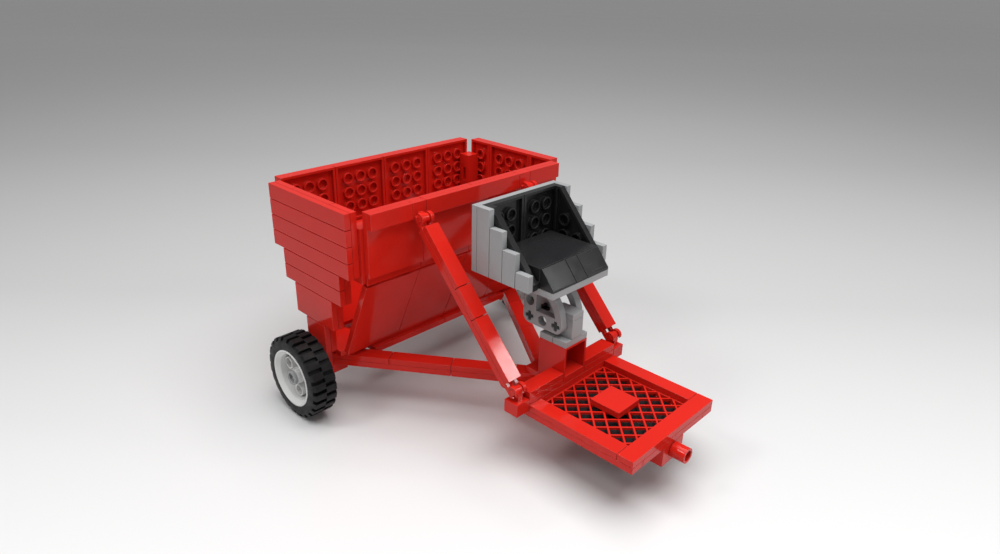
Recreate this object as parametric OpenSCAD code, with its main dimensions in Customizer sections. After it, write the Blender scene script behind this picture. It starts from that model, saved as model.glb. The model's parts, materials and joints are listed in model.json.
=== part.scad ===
// Grain cart built from interlocking moulded bricks: two wheels, a hopper with sloping doors,
// an A-shaped drawbar, a latticed platform with a hitch, and a tilting bucket seat.
// X is across the cart, -Y points forward to the hitch, +Z is up, Z = 0 is the ground.

/* [Brick system] */
// Stud pitch that rows, tiles and tubes follow
pitch = 8; // [7.5:0.1:9]
// Height of a plate or tile
plate_h = 3.2; // [2.8:0.1:4]
// Height of a brick
brick_h = 9.6; // [9:0.1:10.4]
// Open seam between two pieces laid side by side
seam = 0.2; // [0.1:0.05:0.4]
// Radius of hinge bars and pins
bar_r = 1.6; // [1.4:0.1:1.8]
// Radius of the tips of a cross axle
axle_r = 2.4; // [2:0.1:2.6]
// Radial running clearance of axles and bars
run_clear = 0.05; // [0.03:0.01:0.08]

/* [Hopper] */
// Width between the hopper's end walls, without their gaps
hopper_w = 128; // [96:8:176]
// Depth of an end wall at the rim
hopper_d = 64; // [56:4:88]
// Clearance between wall panels and the end walls
wall_gap = 1.6; // [0.8:0.2:2.4]
// Width of the floor plate, front to back
floor_d = 32; // [28:2:36]
// Height of the risers between the axle beam and the end walls
riser_h = 5.6; // [4.8:0.4:8]

/* [Wheels] */
// Tyre diameter
tyre_d = 43.2; // [36:0.6:54]
// Tyre and rim width
wheel_w = 14; // [12:0.5:18]
// Rim diameter at the lips
rim_d = 30; // [26:0.5:32]
// Gap between the axle block and the wheel
wheel_gap = 2.8; // [1:0.2:5]
// Tread blocks in one row around the tyre
tread_blocks = 24; // [16:1:32]

/* [Drawbar and platform] */
// Distance from the axle to the crossbar
reach = 104; // [96:4:136]
// Platform width
platform_w = 64; // [56:4:80]
// Platform length in front of the crossbar
platform_l = 56; // [48:4:72]
// Lattice cells along one side
lattice_cells = 6; // [5:1:9]
// Length of the hitch tube
hitch_l = 7.4; // [6:0.2:12]

/* [Seat] */
// Seat width over the side tiles
seat_w = 56; // [48:2:62]
// Height of the pedestal
pedestal_h = 19.2; // [16:0.8:24]
// Radius of the curved seat arms
arm_r = 19.8; // [18:0.2:24]
// Height of the seat back
seat_back_h = 32; // [28:1:40]

/* [Hidden] */
$fn = 64;

red = "firebrick";
grey = "darkgray";
dark = "dimgray";
white = "white";
black = [0.1, 0.1, 0.1];

// Underside of a plate: outer wall, depth of the hollow, and the tubes between the studs
skirt = 1.5;
hollow_depth = 2;
tube_outer_r = 3.2;
tube_inner_r = 2.4;
pin_clear = 0.02;
hole_rise = 5.8;

// Heights
axle_z = tyre_d / 2;
beam_top = axle_z + brick_h / 2;
deck_z = beam_top + riser_h;
floor_top = beam_top + plate_h;
full_rows = 4;
step_rows = 2;
wall_h = (full_rows + 3 * step_rows) * pitch;
hopper_top = deck_z + wall_h;
panel_h = full_rows * pitch;
panel_z = hopper_top - panel_h;

// Half extents of the hopper
inner_x = hopper_w / 2 + wall_gap;
outer_x = inner_x + 2 * plate_h;
inner_y = hopper_d / 2 + wall_gap;
outer_y = inner_y + 2 * plate_h;
panels = 4;

// Doors: hinge line under the wall panels, and the foot of the skin above the floor
hinge_y = inner_y - 1.5 * bar_r;
hinge_z = panel_z - 1.3;
skin_offset = 1;
skin_start = 2.8;
foot_y = floor_d / 2 - 4.7;
foot_z = floor_top + 2.5;
sill_y = foot_y - 0.9;
foot_r = norm([hinge_y - foot_y, hinge_z - foot_z]);
door_angle = atan((hinge_y - foot_y) / (hinge_z - foot_z)) + asin(skin_offset / foot_r);
skin_end = sqrt(foot_r * foot_r - skin_offset * skin_offset);
clip_r = 2.6;
column_w = pitch;
column_bottom = hinge_z - bar_r - 0.3;
frame_inset = column_w + wall_gap;

// Drawbar
layer_z = deck_z - plate_h;
frame_z = deck_z - 2 * plate_h;
bar_front_y = -(reach - pitch - pitch / 2);
bar_z = frame_z - plate_h;
bar_rear_x = outer_x - 7.6;
bar_turn = atan(bar_rear_x / -bar_front_y);
riser_x = bar_rear_x - 6.8;
tongue_z = [beam_top + 0.5, layer_z - 0.3];
crossbar_rear = -(reach - pitch / 2);
crossbar_front = -(reach + pitch / 2);
platform_front = crossbar_front - platform_l;
half_platform = platform_w / 2;
rail_x = half_platform - pitch;

// Struts between the rim band and the crossbar
strut_x = half_platform + pitch / 2;
top_pivot = [-(outer_y + plate_h), hopper_top - 7.2];
low_pivot = [-reach, deck_z + 2.5 * plate_h];
strut_l = norm(top_pivot - low_pivot);
strut_slope = atan2(top_pivot[1] - low_pivot[1], top_pivot[0] - low_pivot[0]);
strut_top = 2.4;
strut_end = 4.4;
finger_r = 2.9;
finger_w = 2;
post_w = 3;

// Wheels
wheel_x = outer_x + wheel_gap;
bed_r = rim_d / 2 - 1.8;
lip_w = 1.2;
hub_r = 4;
pin_hole_r = axle_r + run_clear;
web_w = 2.4;
web_x = 4;
spoke_hole_at = 8.4;
tread_depth = 2;

// Seat support and seat
pedestal_rear = crossbar_front + 2 * pitch;
cap_z = deck_z + pedestal_h;
pivot_z = cap_z + plate_h + hole_rise;
pivot_y = crossbar_front + 7;
arm_hole = pitch;
arm_end_r = 3.9;
arm_w = 4;
arm_rear_y = pivot_y + 2 * arm_hole;
seat_z = pivot_z + arm_r;
seat_floor_z = seat_z + plate_h;
seat_top_z = seat_floor_z + seat_back_h;
seat_front = crossbar_front - 0.4;
seat_rear = seat_front + 5 * pitch + 0.8 * plate_h;
back_y = seat_rear - plate_h;
shell_y = back_y - plate_h;
half_seat = seat_w / 2;
side_x = half_seat - plate_h;
frame_x = side_x - plate_h;
pan_x = frame_x - wall_gap;
slope_rear = seat_front + pitch;
pan_top = seat_floor_z + brick_h;
hitch_z = frame_z - brick_h + hole_rise;
lattice_t = 1.4;
lattice_bar = 0.9;
lip_h = 4;
hitch_r = 3.7;

// The frame's Y origin is midway between the rear band and the tip of the hitch
tip_y = platform_front - hitch_l;
shift_y = -(outer_y + tip_y) / 2;

// Shared shapes. Ranges are [low, high] along each axis.
module cart() translate([0, shift_y, 0]) children();

module block(x, y, z)
    translate([x[0], y[0], z[0]]) cube([x[1] - x[0], y[1] - y[0], z[1] - z[0]]);

// A block whose marked axes give up half a seam at each end
module piece(x, y, z, gaps = [1, 1, 0]) {
    g = seam / 2 * gaps;
    block([x[0] + g[0], x[1] - g[0]], [y[0] + g[1], y[1] - g[1]], [z[0] + g[2], z[1] - g[2]]);
}

// Pieces laid end to end along X between x[0] and x[1]
module row_x(count, x, y, z, gaps = [1, 1, 0]) {
    w = (x[1] - x[0]) / count;
    for (i = [0:count - 1]) piece([x[0] + i * w, x[0] + (i + 1) * w], y, z, gaps);
}

// s = 1 is the cart's left side, at +X, and s = -1 its right side
module side(s) mirror([s > 0 ? 0 : 1, 0, 0]) children();

// s = 1 keeps a rear piece, at +Y from the axle, and s = -1 mirrors it to the front
module end(s) mirror([0, s > 0 ? 0 : 1, 0]) children();

module bar_x(r, x0, x1, y, z) translate([x0, y, z]) rotate([0, 90, 0]) cylinder(r = r, h = x1 - x0);

// Plate w by d that lies in XY, with its hollow underside and tubes facing +Z at z = plate_h
module hollow_plate(w, d) {
    nx = round(w / pitch);
    ny = round(d / pitch);
    difference() {
        cube([w, d, plate_h]);
        translate([skirt, skirt, plate_h - hollow_depth])
            cube([w - 2 * skirt, d - 2 * skirt, plate_h]);
    }
    if (nx > 1 && ny > 1)
        for (i = [1:nx - 1], j = [1:ny - 1])
            translate([i * w / nx, j * d / ny, plate_h - hollow_depth]) tube();
}

module tube() difference() {
    cylinder(r = tube_outer_r, h = hollow_depth);
    translate([0, 0, -1]) cylinder(r = tube_inner_r, h = hollow_depth + 2);
}

// Cross-shaped bar along Z
module cross_bar(r, web, h) intersection() {
    union() {
        translate([-r, -web / 2, 0]) cube([2 * r, web, h]);
        translate([-web / 2, -r, 0]) cube([web, 2 * r, h]);
    }
    cylinder(r = r, h = h);
}

// Running gear
module axle_beam() color(red) cart()
    block([-inner_x + pitch, inner_x - pitch], [-pitch / 2, pitch / 2], [beam_top - plate_h, beam_top]);

module axle_block(s) color(red) cart() side(s) difference() {
    union() {
        block([inner_x - pitch, outer_x], [-pitch / 2, pitch / 2], [axle_z - brick_h / 2, beam_top]);
        block([riser_x, outer_x], [-pitch / 2, pitch / 2], [beam_top, deck_z]);
        block([6 * pitch + seam, inner_x - seam], [-sill_y, sill_y], [layer_z + seam, deck_z]);
    }
    bar_x(pin_hole_r, inner_x - pitch + 1, outer_x + 1, 0, axle_z);
    tongue(0.2);
    translate([bar_rear_x, 0, beam_top]) cylinder(r = bar_r + pin_clear, h = riser_h + 1);
}

module left_axle_block() axle_block(1);
module right_axle_block() axle_block(-1);

module axle(s) color(dark) cart() side(s)
    translate([inner_x - pitch + 1.6, 0, axle_z]) rotate([0, 90, 0])
        cross_bar(axle_r, 1.8, wheel_x + wheel_w - 4 - (inner_x - pitch + 1.6));

module left_axle() axle(1);
module right_axle() axle(-1);

// Turns a profile drawn as [radius, distance from the wheel's inner face] about the axle
module on_wheel(s) cart() side(s) translate([wheel_x, 0, axle_z]) rotate([0, 90, 0]) children();

module rim(s) color(white) on_wheel(s) difference() {
    union() {
        rotate_extrude() polygon([
            [bed_r - 1.4, 0], [rim_d / 2, 0], [rim_d / 2, lip_w], [bed_r, lip_w + 0.6],
            [bed_r, wheel_w - lip_w - 0.6], [rim_d / 2, wheel_w - lip_w], [rim_d / 2, wheel_w],
            [rim_d / 2 - 0.9, wheel_w], [bed_r - 1, wheel_w - lip_w - 0.8], [bed_r - 1.4, web_x + 1]]);
        translate([0, 0, web_x]) cylinder(r = bed_r - 1, h = web_w);
        translate([0, 0, 1]) cylinder(r = hub_r, h = wheel_w - 3.2);
        for (a = [0, 120, 240]) rotate([0, 0, a]) translate([spoke_hole_at, 0, web_x])
            cylinder(r = pin_hole_r + 0.9, h = 6);
    }
    translate([0, 0, -1]) cross_bar(axle_r + run_clear, 1.9, wheel_w + 2);
    for (a = [0, 120, 240]) rotate([0, 0, a]) translate([spoke_hole_at, 0, web_x - 1])
        cylinder(r = pin_hole_r, h = 8);
}

module left_rim() rim(1);
module right_rim() rim(-1);

module tyre(s) color(black) on_wheel(s) difference() {
    r = tyre_d / 2;
    lip = rim_d / 2 + 0.02;
    rotate_extrude() polygon([
        [bed_r + 0.02, lip_w + 0.62], [lip, lip_w + 0.02], [lip, 0.3], [r - 4.6, 0], [r - 1.6, 0.4],
        [r, 1.2], [r, wheel_w - 1.2], [r - 1.6, wheel_w - 0.4], [r - 4.6, wheel_w],
        [lip, wheel_w - 0.3], [lip, wheel_w - lip_w - 0.02], [bed_r + 0.02, wheel_w - lip_w - 0.62]]);
    gap = 0.36 * PI * tyre_d / tread_blocks;
    for (i = [0:tread_blocks - 1], row = [0, 1])
        rotate([0, 0, (i + row / 2 + 0.5) * 360 / tread_blocks])
            translate([r - tread_depth, -gap / 2, row == 0 ? -1 : wheel_w / 2])
                cube([tread_depth + 1, gap, wheel_w / 2 + 1]);
}

module left_tyre() tyre(1);
module right_tyre() tyre(-1);

// Hopper
module hopper_floor() color(red) cart()
    row_x(2, [-6 * pitch, 6 * pitch], [-floor_d / 2, floor_d / 2], [beam_top, floor_top]);

// Half depth of the end wall at step i, and the heights of that step
function step_half(i) = hopper_d / 2 - i * pitch;
function step_low(i) = hopper_top - (full_rows + i * step_rows) * pitch;
function step_high(i) = i == 0 ? hopper_top : step_low(i - 1);

module end_plates(s) color(red) cart() side(s) for (i = [0:3]) {
    h = step_half(i);
    parts = i == 0 ? [[-h, -2 * pitch], [-2 * pitch, 2 * pitch], [2 * pitch, h]] : [[-h, h]];
    for (p = parts)
        translate([inner_x + plate_h, p[0] + seam / 2, step_low(i) + (i < 3 ? seam / 2 : 0)])
            rotate([0, -90, 0])
                hollow_plate(step_high(i) - step_low(i) - seam, p[1] - p[0] - seam);
}

module left_end_plates() end_plates(1);
module right_end_plates() end_plates(-1);

module end_tiles(s) color(red) cart() side(s) {
    x = [inner_x + plate_h, outer_x];
    for (i = [0:3]) {
        rows = i == 0 ? full_rows : i == 1 ? step_rows : 1;
        h = (step_high(i) - step_low(i)) / rows;
        for (r = [0:rows - 1]) {
            low = step_low(i) + r * h;
            piece(x, [-step_half(i), step_half(i)], [low, low + h], [0, 1, 1]);
        }
    }
}

module left_end_tiles() end_tiles(1);
module right_end_tiles() end_tiles(-1);

module wall_panels(s) color(red) cart() end(s) for (i = [0:panels - 1]) {
    w = hopper_w / panels;
    translate([-hopper_w / 2 + i * w + seam / 2, inner_y + plate_h, panel_z]) rotate([90, 0, 0])
        hollow_plate(w - seam, panel_h);
    block([-hopper_w / 2 + i * w + seam / 2, -hopper_w / 2 + (i + 1) * w - seam / 2],
          [inner_y + 0.35, inner_y + 1.35], [panel_z - lip_h, panel_z + 0.6]);
}

module front_wall_panels() wall_panels(-1);
module rear_wall_panels() wall_panels(1);

module front_rim_band() color(red) cart() {
    y = [-outer_y, -inner_y - plate_h];
    z = [hopper_top - pitch, hopper_top];
    for (s = [1, -1]) side(s) piece([strut_x + pitch / 2, hopper_w / 2], y, z, [1, 0, 0]);
    piece([-strut_x + pitch / 2, strut_x - pitch / 2], y, z, [1, 0, 0]);
}

module rear_rim_band() color(red) cart()
    row_x(2, [-hopper_w / 2, hopper_w / 2], [outer_y - plate_h, outer_y],
          [hopper_top - pitch, hopper_top], [1, 0, 0]);

module corner_columns() color(red) cart() for (s = [1, -1], e = [1, -1]) side(s) end(e) difference() {
    block([inner_x - column_w, inner_x], [inner_y - column_w, inner_y],
          [column_bottom, hopper_top - pitch]);
    bar_x(bar_r + pin_clear, inner_x - column_w - 1, inner_x - column_w + 4, hinge_y, hinge_z);
    translate([inner_x - column_w - 1, inner_y - column_w / 2 - 1, hopper_top - 3 * pitch])
        cube([3, 2, pitch]);
}

module hinge_rod(s) color(red) cart() end(s)
    bar_x(bar_r, -(inner_x - column_w + 3.8), inner_x - column_w + 3.8, hinge_y, hinge_z);

module front_hinge_rod() hinge_rod(-1);
module rear_hinge_rod() hinge_rod(1);

// Doors hang from the hinge rods: local -Z runs down the door and +Y points outwards
module on_door(s) cart() end(s) translate([0, hinge_y, hinge_z]) rotate([-door_angle, 0, 0]) children();

module door_frame(s) color(red) on_door(s) {
    half = hopper_w / 2 - frame_inset;
    inner = skin_offset - plate_h;
    difference() {
        union() {
            block([-half, half], [inner, skin_offset], [-skin_end + 2, -skin_start - 1.2]);
            for (x = [-0.75, -0.25, 0.25, 0.75]) {
                bar_x(clip_r, x * half - 2, x * half + 2, 0, 0);
                block([x * half - 2, x * half + 2], [inner, skin_offset], [-skin_start - 1.3, -1]);
            }
        }
        bar_x(bar_r + run_clear, -half - 1, half + 1, 0, 0);
        block([-half - 1, half + 1], [-3.2, 0], [-0.9, 0.9]);
    }
}

module front_door_frame() door_frame(-1);
module rear_door_frame() door_frame(1);

module door_skin(s) color(red) on_door(s) {
    y = [skin_offset, skin_offset + plate_h];
    z = [-skin_end, -skin_start];
    row_x(panels, [-hopper_w / 2, hopper_w / 2], y, z, [1, 0, 0]);
}

module front_door_skin() door_skin(-1);
module rear_door_skin() door_skin(1);

// Drawbar: local -Y runs forward from the rear pin at the origin
module on_drawbar(s) cart() side(s) translate([bar_rear_x, 0, 0]) rotate([0, 0, -bar_turn]) children();

// One side's half of the space between the axle block's face and the crossbar
module drawbar_span(s) cart() side(s)
    block([seam / 2, outer_x], [crossbar_rear, -pitch / 2], [0, hopper_top]);

// Rear lug of a drawbar beam, which a pin holds in a slot of the riser
module tongue(grow) translate([bar_rear_x, 0, tongue_z[0] - grow / 2]) rotate([0, 0, -bar_turn]) {
    r = 3 + grow;
    h = tongue_z[1] - tongue_z[0] + grow;
    cylinder(r = r, h = h);
    translate([-r, -12, 0]) cube([2 * r, 12, h]);
}

module drawbar_plates(s) color(red) difference() {
    intersection() {
        drawbar_span(s);
        union() for (i = [0:1]) on_drawbar(s)
            piece([-pitch / 2, pitch / 2], [-(i + 1) * 8 * pitch, -i * 8 * pitch],
                  [bar_z, frame_z], [0, 1, 0]);
    }
    pin_holes();
}

module left_drawbar_plates() drawbar_plates(1);
module right_drawbar_plates() drawbar_plates(-1);

module drawbar_tiles(s) color(red) difference() {
    union() {
        intersection() {
            drawbar_span(s);
            union() for (i = [0:3]) on_drawbar(s)
                piece([-pitch / 2, pitch / 2], [-(i + 1) * 4 * pitch, -i * 4 * pitch],
                      [frame_z, layer_z], [0, 1, 0]);
        }
        cart() intersection() {
            side(s) tongue(0);
            block([-outer_x, outer_x], [-pitch, pitch / 2], [frame_z, layer_z]);
        }
    }
    pin_holes();
}

module left_drawbar_tiles() drawbar_tiles(1);
module right_drawbar_tiles() drawbar_tiles(-1);

// Pins: rear ones in the risers, front ones in the coupling plate
front_pins = [[bar_rear_x / 9, bar_front_y * 8 / 9], [10, crossbar_rear - pitch / 2]];
module pins(grow) cart() for (s = [1, -1]) side(s) {
    translate([bar_rear_x, 0, beam_top]) cylinder(r = bar_r + grow, h = riser_h - 0.6);
    for (p = front_pins) translate([p[0], p[1], bar_z - plate_h])
        cylinder(r = bar_r + grow, h = 3 * plate_h - 0.4);
}
module pin_holes() pins(pin_clear);
module drawbar_pins() color(red) pins(0);

module coupling_plate() color(red) difference() {
    cart() block([-2 * pitch, 2 * pitch], [crossbar_front - pitch, crossbar_rear + 3 * pitch],
                 [bar_z - plate_h, bar_z]);
    pin_holes();
}

module drawbar_hub() color(red) difference() {
    cart() {
        block([-pitch, pitch], [crossbar_rear, crossbar_rear + 2 * pitch], [layer_z, deck_z]);
        block([-2 * pitch, 2 * pitch], [crossbar_front, crossbar_rear], [bar_z, frame_z]);
    }
    pin_holes();
}

// Platform
module platform_rails() color(red) difference() {
    z = [frame_z, layer_z];
    cart() {
        for (s = [1, -1]) side(s)
            piece([rail_x, half_platform], [platform_front, crossbar_rear], z, [1, 0, 0]);
        piece([-rail_x, rail_x], [platform_front, platform_front + pitch], z, [0, 0, 0]);
        piece([-rail_x, rail_x], [crossbar_front, crossbar_rear], z, [0, 0, 0]);
    }
    pin_holes();
}

module platform_tiles() color(red) cart() {
    z = [layer_z, deck_z];
    for (s = [1, -1]) side(s)
        piece([rail_x, half_platform], [platform_front + pitch, crossbar_front], z, [0, 1, 0]);
    piece([-half_platform, half_platform], [platform_front, platform_front + pitch], z, [0, 0, 0]);
    piece([-half_platform, half_platform], [crossbar_front, crossbar_rear], z, [0, 0, 0]);
}

module platform_lattice() color(red) cart() {
    y = [platform_front + pitch, crossbar_front];
    mid = (y[0] + y[1]) / 2;
    wide = 2 * rail_x / lattice_cells;
    count = lattice_cells + ceil((y[1] - y[0]) / wide);
    intersection() {
        block([-rail_x, rail_x], y, [frame_z, layer_z]);
        for (turn = [45, -45], i = [-count:count])
            translate([i * wide, mid, layer_z - lattice_t]) rotate([0, 0, turn])
                translate([-lattice_bar / 2, -2 * platform_w, 0])
                    cube([lattice_bar, 4 * platform_w, lattice_t]);
    }
    difference() {
        block([-rail_x, rail_x], y, [frame_z, layer_z]);
        block([-rail_x + 0.8, rail_x - 0.8], [y[0] + 0.8, y[1] - 0.8], [frame_z - 1, layer_z + 1]);
    }
}

module platform_backing_plates() color(dark) cart()
    row_x(2, [-rail_x, rail_x], [platform_front + 2 * pitch, crossbar_front], [frame_z - plate_h, frame_z]);

module platform_top_tile() color(red) cart() {
    mid = (platform_front + pitch + crossbar_front) / 2;
    block([-pitch, pitch], [mid - pitch, mid + pitch], [layer_z, deck_z]);
}

// Crossbar and the hinges of the struts
module crossbar_run(z) cart() for (s = [1, -1]) side(s)
    piece([pitch, half_platform], [crossbar_front, crossbar_rear], z, [1, 0, 0]);
module crossbar_plates() color(red) crossbar_run([deck_z, deck_z + plate_h]);
module crossbar_tiles() color(red) crossbar_run([deck_z + plate_h, deck_z + 2 * plate_h]);

module hinge_bar(p) bar_x(bar_r, strut_x - pitch / 2 + 0.3, strut_x + pitch / 2 - 0.3, p[0], p[1]);

module crossbar_end_blocks() color(red) cart() for (s = [1, -1]) side(s) {
    block([half_platform, half_platform + pitch], [crossbar_front, crossbar_rear],
          [layer_z, deck_z + plate_h]);
    block([strut_x - post_w / 2, strut_x + post_w / 2],
          [low_pivot[0] - bar_r - 0.6, low_pivot[0] + bar_r + 0.6], [deck_z + plate_h, low_pivot[1]]);
    bar_x(bar_r + 0.6, strut_x - post_w / 2, strut_x + post_w / 2, low_pivot[0], low_pivot[1]);
    hinge_bar(low_pivot);
}

module strut_brackets() color(red) cart() for (s = [1, -1]) side(s) {
    block([strut_x - pitch / 2, strut_x + pitch / 2], [-outer_y, -inner_y - plate_h],
          [hopper_top - pitch, hopper_top]);
    block([strut_x - post_w / 2, strut_x + post_w / 2], [top_pivot[0], -outer_y],
          [top_pivot[1] - bar_r - 0.6, top_pivot[1] + bar_r + 0.6]);
    bar_x(bar_r + 0.6, strut_x - post_w / 2, strut_x + post_w / 2, top_pivot[0], top_pivot[1]);
    hinge_bar(top_pivot);
}

// Strut: local -Y runs from the top pivot down to the lower one, +Z is its tiled face
module on_strut(s) cart() side(s)
    translate([strut_x, top_pivot[0], top_pivot[1]]) rotate([strut_slope, 0, 0]) children();

module strut_plates(s) color(red) on_strut(s) difference() {
    low = strut_top - 2 * plate_h;
    union() {
        block([-pitch / 2, pitch / 2], [-strut_l + strut_end, -strut_end], [low, low + plate_h]);
        for (y = [0, -strut_l], m = [1, -1]) {
            near = post_w / 2 + 0.1;
            far = near + finger_w;
            x = m > 0 ? [near, far] : [-far, -near];
            bar_x(finger_r, x[0], x[1], y, 0);
            block(x, y == 0 ? [-strut_end - 1, 0] : [y, y + strut_end + 1], [-finger_r, low + plate_h]);
        }
    }
    for (y = [0, -strut_l]) bar_x(bar_r + run_clear, -pitch, pitch, y, 0);
    for (y = [0, -strut_l]) block([-pitch, pitch], y == 0 ? [0, 4] : [y - 4, y], [-1, 1]);
}

module left_strut_plates() strut_plates(1);
module right_strut_plates() strut_plates(-1);

module strut_tiles(s) color(red) on_strut(s) {
    length = strut_l - 2 * strut_end;
    cuts = [0, 0.4, 0.6, 1];
    for (i = [0:2])
        piece([-pitch / 2, pitch / 2], [-strut_end - cuts[i + 1] * length, -strut_end - cuts[i] * length],
              [strut_top - plate_h, strut_top], [0, 1, 0]);
}

module left_strut_tiles() strut_tiles(1);
module right_strut_tiles() strut_tiles(-1);

// Hitch: a block under the front rail and a tube on a spigot that turns in it
module hitch_block() color(red) cart() difference() {
    block([-pitch, pitch], [platform_front, platform_front + pitch], [frame_z - brick_h, frame_z]);
    translate([0, platform_front - 1, hitch_z]) rotate([-90, 0, 0]) cylinder(r = pin_hole_r, h = pitch + 2);
}

module hitch_tube() color(red) cart()
    translate([0, platform_front, hitch_z]) rotate([90, 0, 0]) difference() {
    union() {
        translate([0, 0, 0.1]) cylinder(r = hitch_r, h = hitch_l - 0.1);
        translate([0, 0, -pitch + 0.6]) cylinder(r = axle_r, h = pitch);
    }
    translate([0, 0, 0.6]) cylinder(r = pin_hole_r, h = hitch_l);
}

// Pedestal and seat pivot
module pedestal() color(red) cart() difference() {
    block([-pitch, pitch], [crossbar_front, pedestal_rear], [deck_z, cap_z]);
    block([-pitch + 1.2, pitch - 1.2],
          [crossbar_front - 1, pedestal_rear - 1.2], [deck_z + 4, cap_z - 1.2]);
}

module pedestal_cap_plates() color(grey) cart() {
    mid = (crossbar_front + pedestal_rear) / 2;
    piece([-pitch, pitch], [crossbar_front, mid], [cap_z, cap_z + plate_h], [0, 1, 0]);
    piece([-pitch, pitch], [mid, pedestal_rear], [cap_z, cap_z + plate_h], [0, 1, 0]);
}

block_x = pitch / 2 - 0.1;
block_y = [crossbar_front, crossbar_front + 1.5 * pitch];
module pivot_block() color(grey) cart() difference() {
    block([-block_x, block_x], block_y, [cap_z + plate_h, cap_z + plate_h + brick_h]);
    bar_x(pin_hole_r, -pitch, pitch, pivot_y, pivot_z);
}

module pivot_block_tile() color(grey) cart()
    block([-block_x, block_x], block_y, [cap_z + plate_h + brick_h, cap_z + 2 * plate_h + brick_h]);

// Seat arm: quarter ring with a foot along Y and a leg along Z, which meet at the rear hole
module seat_arm(s) color(grey) cart() side(s)
    translate([pitch / 2, arm_rear_y, pivot_z]) rotate([90, 0, 90]) difference() {
    union() {
        intersection() {
            difference() {
                cylinder(r = arm_r, h = arm_w, $fn = 96);
                translate([0, 0, -1]) cylinder(r = arm_r - 3.8, h = arm_w + 2, $fn = 96);
            }
            translate([-arm_r, 0, 0]) cube([arm_r, arm_r, arm_w]);
        }
        for (p = [[0, 0], [-2 * arm_hole, 0], [0, 2 * arm_hole - 0.1]])
            translate([p[0], p[1], 0]) cylinder(r = arm_end_r, h = arm_w);
        translate([-2 * arm_hole, -arm_end_r, 0]) cube([2 * arm_hole, 2 * arm_end_r, arm_w]);
        translate([-arm_end_r, 0, 0]) cube([2 * arm_end_r, 2 * arm_hole - 0.1, arm_w]);
    }
    for (p = [[0, 0], [-2 * arm_hole, 0], [0, 2 * arm_hole]])
        translate([p[0], p[1], -1]) cross_bar(axle_r + run_clear, 1.9, arm_w + 2);
    for (p = [[-arm_hole, 0], [0, arm_hole]]) translate([p[0], p[1], -1])
        cylinder(r = pin_hole_r, h = arm_w + 2);
}

module left_seat_arm() seat_arm(1);
module right_seat_arm() seat_arm(-1);

// Pivot axle in front and tie axle at the rear, both carried by the arms
module seat_axles() color(black) cart() for (y = [pivot_y, arm_rear_y])
    translate([-pitch + 0.4, y, pivot_z]) rotate([0, 90, 0]) cross_bar(axle_r, 1.8, 2 * pitch - 0.8);

// Seat
module seat_base_plate() color(grey) cart()
    block([-pan_x, pan_x], [seat_front, back_y], [seat_z, seat_floor_z]);

module seat_pan() color(dark) cart() {
    piece([-frame_x, frame_x], [slope_rear, shell_y], [seat_floor_z, seat_floor_z + plate_h], [0, 0, 0]);
    piece([-pan_x, pan_x], [slope_rear, shell_y], [seat_floor_z + plate_h, pan_top], [0, 0, 0]);
}

module slope(x0, x1) translate([x0 + seam / 2, 0, 0]) rotate([90, 0, 90]) linear_extrude(x1 - x0 - seam)
    polygon([[slope_rear - seam / 2, seat_floor_z], [slope_rear - seam / 2, pan_top],
             [slope_rear - 1, pan_top], [seat_front, seat_floor_z + 1.2], [seat_front, seat_floor_z]]);

module seat_front_slopes() color(dark) cart() {
    slope(-pan_x, -pitch / 2);
    slope(-pitch / 2, pitch / 2);
    slope(pitch / 2, pan_x);
}

module seat_back_plates() color(dark) cart() for (i = [0:1])
    translate([-side_x + i * side_x + seam / 2, back_y, seat_floor_z]) rotate([90, 0, 0])
        hollow_plate(side_x - seam, seat_back_h);

// Outline of a seat side in [forward, up], pulled in by t from every edge
side_depth = 4 * pitch - plate_h;
side_lip = 3.2;
side_front_h = 3.2;
side_rise = (seat_back_h - side_front_h) / (side_depth - side_lip);
function side_outline(t) = let (k = sqrt(1 + side_rise * side_rise)) [
    [t, t], [side_depth - t, t],
    [side_depth - t, side_front_h + side_rise * t - t * k],
    [side_lip - t * (k - 1) / side_rise, seat_back_h - t], [t, seat_back_h - t]];

module on_side(s)
    side(s) translate([frame_x, shell_y, seat_floor_z]) mirror([0, 1, 0]) rotate([90, 0, 90]) children();

module seat_side_plates() color(dark) cart() for (s = [1, -1]) on_side(s) {
    difference() {
        linear_extrude(plate_h) polygon(side_outline(0));
        translate([0, 0, -1]) linear_extrude(hollow_depth + 1) polygon(side_outline(skirt));
    }
    for (i = [1:3], j = [1:3])
        if (j * pitch + tube_outer_r < seat_back_h - side_rise * (i * pitch + tube_outer_r - side_lip))
            translate([i * pitch - plate_h / 2, j * pitch, 0]) tube();
}

module seat_shell_tiles() color(grey) cart() {
    piece([-half_seat, half_seat], [back_y, seat_rear], [seat_floor_z, seat_top_z], [0, 0, 0]);
    for (s = [1, -1], i = [0:3]) side(s)
        piece([side_x, half_seat], [back_y - (i + 1) * pitch, back_y - i * pitch],
              [seat_floor_z, seat_floor_z + seat_back_h * (4 - i) / 4], [0, 1, 0]);
}

axle_beam();
left_axle_block();
right_axle_block();
left_axle();
right_axle();
left_rim();
right_rim();
left_tyre();
right_tyre();
hopper_floor();
left_end_plates();
right_end_plates();
left_end_tiles();
right_end_tiles();
front_wall_panels();
rear_wall_panels();
front_rim_band();
rear_rim_band();
corner_columns();
front_hinge_rod();
rear_hinge_rod();
front_door_frame();
rear_door_frame();
front_door_skin();
rear_door_skin();
left_drawbar_plates();
right_drawbar_plates();
left_drawbar_tiles();
right_drawbar_tiles();
drawbar_pins();
coupling_plate();
drawbar_hub();
platform_rails();
platform_tiles();
platform_lattice();
platform_backing_plates();
platform_top_tile();
crossbar_plates();
crossbar_tiles();
crossbar_end_blocks();
strut_brackets();
left_strut_plates();
right_strut_plates();
left_strut_tiles();
right_strut_tiles();
hitch_block();
hitch_tube();
pedestal();
pedestal_cap_plates();
pivot_block();
pivot_block_tile();
left_seat_arm();
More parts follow.
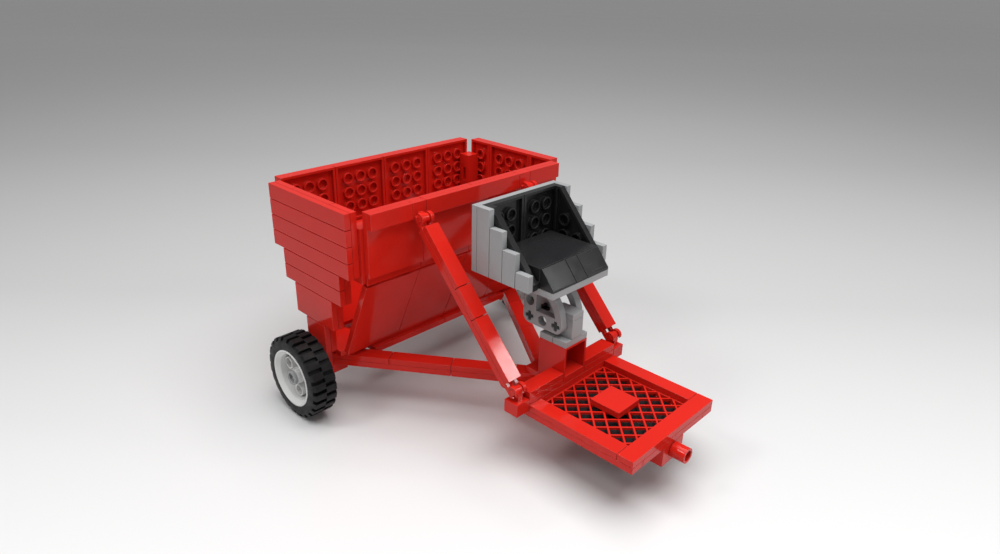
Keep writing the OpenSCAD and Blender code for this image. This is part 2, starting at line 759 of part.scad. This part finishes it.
right_seat_arm();
seat_axles();
seat_base_plate();
seat_pan();
seat_front_slopes();
seat_back_plates();
seat_side_plates();
seat_shell_tiles();
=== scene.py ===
"""Looks for the grain cart: every CAD node becomes a moulded piece with rounded edges, fine seams
to its neighbours and its own plastic or rubber. The wheels also get hub bushes, and two backing
plates close the front row of the lattice."""
import json
import math

import bmesh
import bpy
from mathutils import Matrix, Vector

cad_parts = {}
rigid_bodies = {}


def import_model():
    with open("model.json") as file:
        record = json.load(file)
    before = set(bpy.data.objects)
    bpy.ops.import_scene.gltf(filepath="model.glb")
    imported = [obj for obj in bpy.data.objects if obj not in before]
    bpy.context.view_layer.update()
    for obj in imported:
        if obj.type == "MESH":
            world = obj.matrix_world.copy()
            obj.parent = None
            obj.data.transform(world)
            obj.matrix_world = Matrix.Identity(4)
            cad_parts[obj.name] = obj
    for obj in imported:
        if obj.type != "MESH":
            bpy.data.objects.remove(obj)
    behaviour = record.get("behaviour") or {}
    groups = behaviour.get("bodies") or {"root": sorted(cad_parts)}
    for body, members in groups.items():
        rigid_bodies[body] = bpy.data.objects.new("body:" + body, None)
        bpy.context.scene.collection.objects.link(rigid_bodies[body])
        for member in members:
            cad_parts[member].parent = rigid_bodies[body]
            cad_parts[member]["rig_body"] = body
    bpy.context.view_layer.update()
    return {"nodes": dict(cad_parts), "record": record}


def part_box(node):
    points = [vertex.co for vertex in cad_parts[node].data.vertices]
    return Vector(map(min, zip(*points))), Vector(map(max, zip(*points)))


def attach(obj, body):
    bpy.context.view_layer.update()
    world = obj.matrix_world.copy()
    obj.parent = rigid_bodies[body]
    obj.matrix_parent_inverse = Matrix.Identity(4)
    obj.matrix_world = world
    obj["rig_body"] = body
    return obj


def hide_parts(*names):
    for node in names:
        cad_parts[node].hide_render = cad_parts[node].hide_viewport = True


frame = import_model()

MM = 0.001
EDGE_ROUND = 0.15 * MM
LATTICE_ROUND = 0.12 * MM
# How far each piece is drawn in from its CAD faces
SEAM = 0.06 * MM
# The most that a corner may move, in multiples of SEAM
CORNER_LIMIT = 2.0
WELD = 0.002 * MM
FLAT = math.radians(0.6)
SHARP = math.radians(35)
STUD_PITCH = 8.0 * MM
SLOTS = {s["node"]: s["material_slot"] for s in frame["record"]["subparts"]}


# ---------------------------------------------------------------- materials
class Nodes:
    """Short names for building a node tree."""

    def __init__(self, name):
        self.material = bpy.data.materials.new(name)
        self.material.use_nodes = True
        self.tree = self.material.node_tree
        self.shader = self.tree.nodes["Principled BSDF"]

    def add(self, kind, **inputs):
        node = self.tree.nodes.new("ShaderNode" + kind)
        for key, value in inputs.items():
            node.inputs[key.replace("_", " ")].default_value = value
        return node

    def link(self, source, target):
        self.tree.links.new(source, target)

    def noise(self, scale, detail=3.0, stretch=None):
        """Noise in the object's own metres, so it stays on the piece."""
        place = self.add("TexCoord")
        mapping = self.add("Mapping")
        if stretch:
            mapping.inputs["Scale"].default_value = stretch
        self.link(place.outputs["Object"], mapping.inputs["Vector"])
        node = self.add("TexNoise", Scale=scale, Detail=detail)
        self.link(mapping.outputs["Vector"], node.inputs["Vector"])
        return node.outputs["Fac"]

    def ramp(self, value, low, high, from_low=0.0, from_high=1.0):
        node = self.add("MapRange")
        node.inputs["From Min"].default_value = from_low
        node.inputs["From Max"].default_value = from_high
        node.inputs["To Min"].default_value = low
        node.inputs["To Max"].default_value = high
        self.link(value, node.inputs["Value"])
        return node.outputs["Result"]

    def math(self, operation, a, b):
        node = self.add("Math")
        node.operation = operation
        for socket, value in zip(node.inputs, (a, b)):
            if isinstance(value, (int, float)):
                socket.default_value = value
            else:
                self.link(value, socket)
        return node.outputs["Value"]

    def mix(self, factor, a, b):
        """Colour a where factor is 0, colour b where it is 1."""
        node = self.add("Mix")
        node.data_type = "RGBA"
        self.link(factor, node.inputs["Factor"])
        for socket, value in ((node.inputs[6], a), (node.inputs[7], b)):
            if isinstance(value, tuple):
                socket.default_value = (*value, 1.0)
            else:
                self.link(value, socket)
        return node.outputs[2]

    def bump(self, height, distance, strength=1.0, normal=None):
        node = self.add("Bump", Strength=strength, Distance=distance)
        self.link(height, node.inputs["Height"])
        if normal:
            self.link(normal, node.inputs["Normal"])
        return node.outputs["Normal"]


def shade(colour, k):
    return tuple(min(1.0, c * k) for c in colour)


def plastic(name, colour, rough=0.16, flow=0.05, gloss=0.3, edge=0.0):
    """Glossy moulded plastic: tint differs a little from piece to piece and along the flow of the
    mould, and fine hairline scratches break up the gloss. A rounded edge gets a slightly paler
    colour, a painted highlight, and a little more roughness."""
    n = Nodes(name)
    # Painted highlight: the colour of a rounded edge is raised a little towards white
    colour = tuple(c + (1 - c) * 0.015 * edge for c in colour)
    rough = rough * (1 + 0.5 * edge)
    per_piece = n.add("NewGeometry").outputs["Random Per Island"]
    body = n.mix(n.ramp(per_piece, 0.0, 1.0), shade(colour, 1 - flow), shade(colour, 1 + flow))
    clouds = n.ramp(n.noise(45.0, 3.0), 0.0, 0.5, 0.4, 0.7)
    n.link(n.mix(clouds, body, shade(colour, 0.90)), n.shader.inputs["Base Color"])
    hairs = n.noise(900.0, 2.0, (1.0, 1.0, 0.045))
    cross_hairs = n.noise(760.0, 2.0, (0.05, 1.0, 1.0))
    scratches = n.math(
        "MAXIMUM", n.ramp(hairs, 0.0, 1.0, 0.68, 0.76), n.ramp(cross_hairs, 0.0, 1.0, 0.69, 0.77)
    )
    smudges = n.ramp(n.noise(140.0, 5.0), rough * 0.8, rough * 1.35, 0.3, 0.72)
    worn = n.math("MULTIPLY", scratches, 0.10)
    n.link(n.math("ADD", worn, smudges), n.shader.inputs["Roughness"])
    waves = n.bump(n.noise(55.0, 1.0), 0.00006, 0.3)
    n.link(n.bump(scratches, 0.000006, 0.3, waves), n.shader.inputs["Normal"])
    n.shader.inputs["IOR"].default_value = 1.53
    n.shader.inputs["Specular IOR Level"].default_value = gloss
    return n.material


def rubber(name, colour=(0.006, 0.006, 0.0065)):
    """Moulded tyre rubber: nearly black, a little dusty in patches, with a fine pebbled skin."""
    n = Nodes(name)
    dust = n.ramp(n.noise(110.0, 6.0), 0.0, 0.5, 0.5, 0.85)
    n.link(n.mix(dust, colour, (0.020, 0.0195, 0.019)), n.shader.inputs["Base Color"])
    n.link(n.ramp(n.noise(320.0, 4.0), 0.40, 0.60, 0.3, 0.7), n.shader.inputs["Roughness"])
    skin = n.bump(n.noise(2600.0, 3.0), 0.00004, 0.4)
    n.link(n.bump(n.noise(180.0, 2.0), 0.00008, 0.3, skin), n.shader.inputs["Normal"])
    n.shader.inputs["Specular IOR Level"].default_value = 0.25
    return n.material


PLASTICS = {
    "red_plastic": ("moulded_red", (0.60, 0.016, 0.009), 0.10, 0.05, 0.18),
    "grey_plastic": ("moulded_light_grey", (0.32, 0.325, 0.33), 0.18, 0.04, 0.3),
    "charcoal_plastic": ("moulded_charcoal", (0.016, 0.016, 0.017), 0.20, 0.06, 0.25),
    "white_plastic": ("moulded_white", (0.74, 0.74, 0.73), 0.14, 0.02, 0.35),
    "dark_plastic": ("moulded_black", (0.010, 0.010, 0.011), 0.20, 0.05, 0.3),
}
FACES = {slot: plastic(*values) for slot, values in PLASTICS.items()}
EDGES = {
    slot: plastic(name + "_edge", *rest, edge=1.0) for slot, (name, *rest) in PLASTICS.items()
}
FACES["tyre"] = EDGES["tyre"] = rubber("tyre_rubber")


# ---------------------------------------------------------------- pieces
def drawn_area(mesh):
    mesh.calc_loop_triangles()
    return sum(triangle.area for triangle in mesh.loop_triangles)


def clean_mesh(node, join):
    """The node's mesh, welded and drawn in by half a seam, without stored normals. With join,
    its flat faces are made whole again."""
    bm = bmesh.new()
    bm.from_mesh(frame["nodes"][node].data)
    bmesh.ops.remove_doubles(bm, verts=bm.verts, dist=WELD)
    if join:
        bmesh.ops.dissolve_limit(bm, angle_limit=FLAT, verts=bm.verts, edges=bm.edges)
    bmesh.ops.recalc_face_normals(bm, faces=bm.faces)
    bm.normal_update()
    moves = [(vert, vert.normal * vert.calc_shell_factor()) for vert in bm.verts]
    for vert, out in moves:
        vert.co -= out * (SEAM * min(1.0, CORNER_LIMIT / max(out.length, 1.0)))
    bm.verts.index_update()
    mesh = bpy.data.meshes.new(node + "_moulded")
    mesh.from_pydata(
        [v.co[:] for v in bm.verts], [], [[v.index for v in f.verts] for f in bm.faces]
    )
    bm.free()
    mesh.polygons.foreach_set("use_smooth", [True] * len(mesh.polygons))
    mesh.set_sharp_from_angle(angle=SHARP)
    mesh.materials.append(FACES[SLOTS[node]])
    mesh.materials.append(EDGES[SLOTS[node]])
    return mesh


def moulded(node, edge=EDGE_ROUND, steps=2):
    """A node's shape as one moulded piece with its sharp edges rounded."""
    piece = bpy.data.objects.new(node + "_moulded", clean_mesh(node, join=True))
    bpy.context.scene.collection.objects.link(piece)
    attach(piece, frame["nodes"][node]["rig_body"])
    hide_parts(node)
    bevel = piece.modifiers.new("rounded_edges", "BEVEL")
    bevel.width = edge
    bevel.segments = steps
    bevel.limit_method = "ANGLE"
    bevel.angle_limit = SHARP
    bevel.harden_normals = True
    bevel.miter_outer = "MITER_ARC"
    bevel.use_clamp_overlap = True
    bevel.material = 1
    return piece


pieces = {}
for name in sorted(frame["nodes"]):
    if name == "platform_lattice":
        pieces[name] = moulded(name, LATTICE_ROUND, 1)
    else:
        pieces[name] = moulded(name)

# A flat face with many holes can be drawn as one sheet over them once its edges are rounded.
# Such a piece goes back to small faces.
graph = bpy.context.evaluated_depsgraph_get()
for name, piece in pieces.items():
    if drawn_area(piece.evaluated_get(graph).to_mesh()) > drawn_area(piece.data):
        piece.data = clean_mesh(name, join=False)


TURN_STEPS = 64


def turned(name, profile, centre, outward, slot, body):
    """A ring turned about X: profile lists (radius, distance out along X from centre)."""
    verts, faces = [], []
    for i in range(TURN_STEPS):
        turn = 2 * math.pi * i / TURN_STEPS
        for radius, out in profile:
            verts.append(
                (
                    centre.x + outward * out,
                    centre.y + radius * math.cos(turn),
                    centre.z + radius * math.sin(turn),
                )
            )
    rows = len(profile)
    for i in range(TURN_STEPS):
        following = (i + 1) % TURN_STEPS
        for j in range(rows):
            k = (j + 1) % rows
            faces.append(
                (i * rows + j, i * rows + k, following * rows + k, following * rows + j)
            )
    mesh = bpy.data.meshes.new(name)
    mesh.from_pydata(verts, [], faces)
    bm = bmesh.new()
    bm.from_mesh(mesh)
    bmesh.ops.recalc_face_normals(bm, faces=bm.faces)
    bm.to_mesh(mesh)
    bm.free()
    mesh.polygons.foreach_set("use_smooth", [True] * len(mesh.polygons))
    mesh.set_sharp_from_angle(angle=SHARP)
    mesh.materials.append(FACES[slot])
    piece = bpy.data.objects.new(name, mesh)
    bpy.context.scene.collection.objects.link(piece)
    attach(piece, body)


# Radius and distance out from the rim's inner face, in mm, round the bush's section
BUSH = [(2.5, 11.85), (3.7, 11.85), (3.7, 13.2), (3.45, 13.5), (2.75, 13.5), (2.5, 13.25)]
for name, outward in (("left", 1), ("right", -1)):
    low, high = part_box(name + "_rim")
    middle = (low + high) / 2
    inner_face = low.x if outward > 0 else high.x
    turned(
        name + "_hub_bush",
        [(r * MM, d * MM) for r, d in BUSH],
        Vector((inner_face, middle.y, middle.z)),
        outward,
        "grey_plastic",
        name + "_wheel",
    )


def front_backing():
    """Two more dark plates that close the lattice up to the front rail, rounded like the rest."""
    low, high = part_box("platform_backing_plates")
    half = (high.x - low.x) / 2
    bm = bmesh.new()
    for k in range(2):
        size = Vector((half - 2 * SEAM, STUD_PITCH - 2 * SEAM, high.z - low.z - 2 * SEAM))
        middle = Vector(
            (low.x + (k + 0.5) * half, low.y - STUD_PITCH / 2, (low.z + high.z) / 2)
        )
        place = Matrix.Translation(middle) @ Matrix.Diagonal((*size, 1.0))
        bmesh.ops.create_cube(bm, size=1.0, matrix=place)
    bmesh.ops.bevel(
        bm, geom=bm.edges[:], offset=EDGE_ROUND, segments=2, profile=0.5, affect="EDGES"
    )
    mesh = bpy.data.meshes.new("platform_front_backing")
    bm.to_mesh(mesh)
    bm.free()
    mesh.materials.append(FACES["charcoal_plastic"])
    piece = bpy.data.objects.new("platform_front_backing", mesh)
    bpy.context.scene.collection.objects.link(piece)
    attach(piece, "cart")


front_backing()


# ---------------------------------------------------------------- stage, light and camera
# Metres from the cart away from the viewer, and the floor's grey there: painted light in front of
# the cart, painted shade just behind it, paling again far back
FLOOR_PAINTED_LIGHT = [(-0.15, 0.75), (0.12, 0.56), (0.5, 0.58), (1.5, 0.88), (3.0, 0.95)]
FLOOR_DIRECTION = (0.725, 0.69, 0.0)
FLOOR_HALF_WIDTH = 14.0


def floor_material():
    """Pale floor whose colour carries painted light and shade: pale in front of the cart, painted
    shade just behind it, paling again towards the back of the studio.
    """
    n = Nodes("studio_floor")
    place = n.add("TexCoord")
    away = n.add("VectorMath")
    away.operation = "DOT_PRODUCT"
    away.inputs[1].default_value = FLOOR_DIRECTION
    n.link(place.outputs["Object"], away.inputs[0])
    near, far = FLOOR_PAINTED_LIGHT[0][0], FLOOR_PAINTED_LIGHT[-1][0]
    # This ramp paints light and shade into the floor's colour by distance from the cart
    painted_light_ramp = n.add("ValToRGB")
    n.link(n.ramp(away.outputs["Value"], 0.0, 1.0, near, far), painted_light_ramp.inputs["Fac"])
    stops = painted_light_ramp.color_ramp.elements
    while len(stops) < len(FLOOR_PAINTED_LIGHT):
        stops.new(0.5)
    for stop, (distance, tone) in zip(stops, FLOOR_PAINTED_LIGHT):
        stop.position = (distance - near) / (far - near)
        stop.color = (tone, tone, tone, 1.0)
    n.link(painted_light_ramp.outputs["Color"], n.shader.inputs["Base Color"])
    n.link(n.ramp(n.noise(6.0, 2.0), 0.16, 0.22), n.shader.inputs["Roughness"])
    n.shader.inputs["Specular IOR Level"].default_value = 0.3
    return n.material


def lay_floor():
    half = FLOOR_HALF_WIDTH
    corners = [(-half, -half, 0), (half, -half, 0), (half, half, 0), (-half, half, 0)]
    mesh = bpy.data.meshes.new("studio_floor")
    mesh.from_pydata(corners, [], [(0, 1, 2, 3)])
    mesh.materials.append(floor_material())
    piece = bpy.data.objects.new("studio_floor", mesh)
    bpy.context.scene.collection.objects.link(piece)


lay_floor()


def aim(obj, target):
    obj.rotation_mode = "QUATERNION"
    obj.rotation_quaternion = (target - obj.location).to_track_quat("-Z", "Y")


def area_light(name, place, target, size, power):
    data = bpy.data.lights.new(name, "AREA")
    data.shape = "RECTANGLE"
    data.size, data.size_y = size
    data.energy = power
    light = bpy.data.objects.new(name, data)
    bpy.context.scene.collection.objects.link(light)
    light.location = place
    aim(light, Vector(target))


CART_MIDDLE = (0.0, 0.0, 0.05)
NEAR_STRUT = (-0.033, -0.033, 0.05)

area_light("key", (-0.66, 0.36, 0.85), CART_MIDDLE, (0.25, 0.25), 2.4)
area_light("fill", (-0.2, -1.0, 0.5), CART_MIDDLE, (0.7, 0.4), 0.8)
# A small lamp that the near strut mirrors
area_light("glint", (0.473, -0.478, 0.48), NEAR_STRUT, (0.07, 0.07), 0.45)
area_light("top", (0.0, -0.15, 0.9), (0.0, -0.15, 0.0), (0.8, 0.8), 10.2)

world = bpy.data.worlds.new("soft_studio")
bpy.context.scene.world = world
world.use_nodes = True
background = world.node_tree.nodes["Background"]
background.inputs["Color"].default_value = (1.0, 1.0, 1.0, 1.0)
background.inputs["Strength"].default_value = 0.25

CAMERA_PLACE = Vector((-238.1, -217.9, 216.8)) * MM
CAMERA_AZIMUTH = -46.5
CAMERA_ELEVATION = 24.3
CAMERA_ROLL = 1.4
FOCAL_PIXELS = 718.4
IMAGE_WIDTH = 1000.0
SENSOR = 36.0

camera_data = bpy.data.cameras.new("photo_view")
camera_data.sensor_width = SENSOR
camera_data.lens = FOCAL_PIXELS * SENSOR / IMAGE_WIDTH
camera_data.clip_start = 0.01
camera_data.clip_end = 60.0
camera = bpy.data.objects.new("photo_view", camera_data)
bpy.context.scene.collection.objects.link(camera)
azimuth, elevation = math.radians(CAMERA_AZIMUTH), math.radians(CAMERA_ELEVATION)
roll = math.radians(CAMERA_ROLL)
back = Vector(
    (
        math.sin(azimuth) * math.cos(elevation),
        -math.cos(azimuth) * math.cos(elevation),
        math.sin(elevation),
    )
)
level = Vector((math.cos(azimuth), math.sin(azimuth), 0.0))
upright = back.cross(level)
right = level * math.cos(roll) + upright * math.sin(roll)
up = upright * math.cos(roll) - level * math.sin(roll)
facing = Matrix((right, up, back)).transposed().to_4x4()
camera.matrix_world = Matrix.Translation(CAMERA_PLACE) @ facing
bpy.context.scene.camera = camera

# The default view transform washes out the reds
bpy.context.scene.view_settings.view_transform = "Standard"
